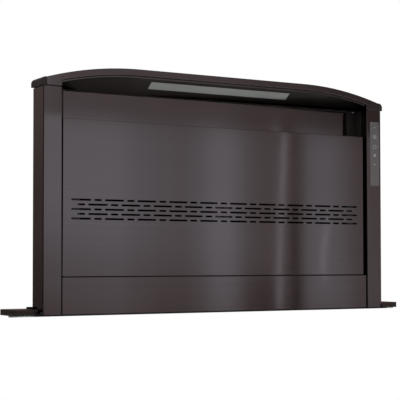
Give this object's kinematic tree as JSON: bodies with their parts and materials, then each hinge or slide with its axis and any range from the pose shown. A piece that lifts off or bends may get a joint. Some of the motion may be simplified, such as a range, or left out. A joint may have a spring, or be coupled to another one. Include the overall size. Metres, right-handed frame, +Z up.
{
  "type": "telescopic downdraft vent",
  "caption": "Slim kitchen vent tower with an arched lit crown, slotted pull-off panel and touch strip, rising from a housing with belt lift, blower and duct collar.",
  "frame": {"origin": "middle of the tower's foot, level with the worktop surface the trim flange rests on", "axes": "+X to the right seen from the cook's side, -Y to the front, +Z up; the tower is drawn raised"},
  "size_m": [0.89, 0.281, 1.1604],
  "materials": {
    "columns": "brushed black stainless",
    "skins": "brushed black stainless",
    "black_paint": "satin",
    "black_plastic": "fine grain",
    "collar": "soft black",
    "trim": "brushed dark",
    "lens": "opal",
    "touch_glass": "smoked, backed",
    "circuit_board": "solder mask",
    "filter": "black coated",
    "galvanised": "galvanised",
    "rubber": "matt",
    "bright_steel": "ground",
    "glider": "natural",
    "cast": "die-cast",
    "wheel": "galvanised",
    "flap": "mill"
  },
  "bodies": {
    "housing": {"chute": "galvanised", "chute_floor": "galvanised", "worktop_flange": "trim", "flange_gasket": "rubber", "wiper_collar": "collar", "guide_rail_left": "bright_steel", "guide_rail_right": "bright_steel", "lift_belt_left": "rubber", "lift_belt_right": "rubber", "shaft_bearings": "black_plastic", "idler_brackets": "black_plastic", "lift_gearbox": "cast", "lift_motor": "cast", "end_sensors": "black_plastic", "scroll_housing": "galvanised", "scroll_plate": "galvanised", "inlet_ring": "galvanised", "motor_plate": "galvanised", "blower_motor": "cast", "outlet_transition": "galvanised", "outlet_collar": "galvanised", "damper_pin": "bright_steel", "control_box": "galvanised", "control_lid": "galvanised", "main_board": "circuit_board", "cable_gland": "black_plastic", "floor_legs": "galvanised", "worktop_brackets": "galvanised"},
    "tower": {"left_column": "columns", "right_column": "columns", "tower_back": "galvanised", "inner_frame": "black_paint", "lower_panel": "skins", "recess_panel": "skins", "filter_guides": "black_plastic", "catch_clips": "black_plastic", "crown_cap": "skins", "crown_ends": "black_plastic", "light_panel": "black_paint", "light_lens": "lens", "led_board": "circuit_board", "touch_strip": "touch_glass", "touch_board": "circuit_board", "lift_carriage_left": "glider", "lift_carriage_right": "glider", "belt_clamps": "black_plastic"},
    "panel": {"front_panel": "skins", "panel_studs": "bright_steel"},
    "filter_left": {"filter_frame_left": "filter", "filter_mesh_left": "filter"},
    "filter_right": {"filter_frame_right": "filter", "filter_mesh_right": "filter"},
    "drive": {"drive_shaft": "bright_steel", "drive_pulleys": "black_plastic"},
    "idler_left": {"idler_pulley_left": "black_plastic"},
    "idler_right": {"idler_pulley_right": "black_plastic"},
    "wheel": {"blower_wheel": "wheel"},
    "flap_front": {"damper_flap_front": "flap"},
    "flap_rear": {"damper_flap_rear": "flap"}
  },
  "joints": [
    {"name": "tower_lift", "type": "slide", "parent": "housing", "child": "tower", "axis": [0, 0, 1], "range_m": [-0.409, 0]},
    {"name": "panel_pull", "type": "slide", "parent": "tower", "child": "panel", "axis": [0, -1, 0], "range_m": [0, 0.12]},
    {"name": "filter_left_pull", "type": "slide", "parent": "tower", "child": "filter_left", "axis": [0, -1, 0], "range_m": [0, 0.06]},
    {"name": "filter_right_pull", "type": "slide", "parent": "tower", "child": "filter_right", "axis": [0, -1, 0], "range_m": [0, 0.06]},
    {"name": "drive_spin", "type": "hinge", "parent": "housing", "child": "drive", "pos_m": [0, 0.013, -0.56], "axis": [1, 0, 0], "range_deg": [0, 1461]},
    {"name": "idler_left_spin", "type": "hinge", "parent": "housing", "child": "idler_left", "pos_m": [-0.404, 0.013, -0.022], "axis": [1, 0, 0], "range_deg": [0, 1461]},
    {"name": "idler_right_spin", "type": "hinge", "parent": "housing", "child": "idler_right", "pos_m": [0.404, 0.013, -0.022], "axis": [1, 0, 0], "range_deg": [0, 1461]},
    {"name": "blower_spin", "type": "hinge", "parent": "housing", "child": "wheel", "pos_m": [0.04, -0.0945, -0.395], "axis": [0, 1, 0], "continuous": true},
    {"name": "flap_front_swing", "type": "hinge", "parent": "housing", "child": "flap_front", "pos_m": [0.283, -0.115, -0.49782], "axis": [0, 0, 1], "range_deg": [0, 75], "stiffness_Nm_per_rad": 0.004},
    {"name": "flap_rear_swing", "type": "hinge", "parent": "housing", "child": "flap_rear", "pos_m": [0.283, -0.115, -0.49782], "axis": [0, 0, -1], "range_deg": [0, 75], "stiffness_Nm_per_rad": 0.004}
  ],
  "couplings": [
    {"joint": "filter_left_pull", "follows": "panel_pull", "ratio": 0.5},
    {"joint": "filter_right_pull", "follows": "panel_pull", "ratio": 0.5},
    {"joint": "drive_spin", "follows": "tower_lift", "rad_per_m": -62.305},
    {"joint": "idler_left_spin", "follows": "tower_lift", "rad_per_m": -62.305},
    {"joint": "idler_right_spin", "follows": "tower_lift", "rad_per_m": -62.305}
  ]
}
